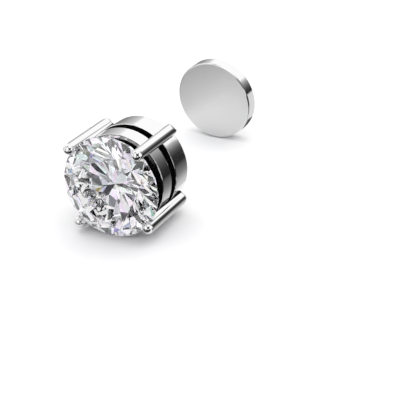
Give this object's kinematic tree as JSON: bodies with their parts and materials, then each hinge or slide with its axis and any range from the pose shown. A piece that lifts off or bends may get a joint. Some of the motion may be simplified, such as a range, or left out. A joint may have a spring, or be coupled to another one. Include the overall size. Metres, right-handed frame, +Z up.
{
  "type": "magnetic earring",
  "caption": "Magnetic stud earring: round brilliant stone in a prong setting of two bands, with a flat disc magnet that holds it from behind the ear lobe.",
  "frame": {"origin": "on the surface that the earring lies on, below the middle of its bounding box", "axes": "+Z up, -Y the way the stone faces, +X to the right seen from the stone's side"},
  "size_m": [0.008, 0.0182, 0.008],
  "materials": {
    "setting": "polished stainless steel",
    "stone": "clear, cut and polished",
    "stud_magnet": "plain nickel-plated magnet, in shadow",
    "back_disc": "satin nickel plate"
  },
  "bodies": {
    "stud": {"setting": "setting", "stone": "stone", "stud_magnet": "stud_magnet"},
    "back": {"back_disc": "back_disc"}
  },
  "joints": [
    {"name": "back_slide", "type": "slide", "parent": "stud", "child": "back", "axis": [0, -0.9993, 0.0381], "range_m": [0, 0.01036]}
  ]
}
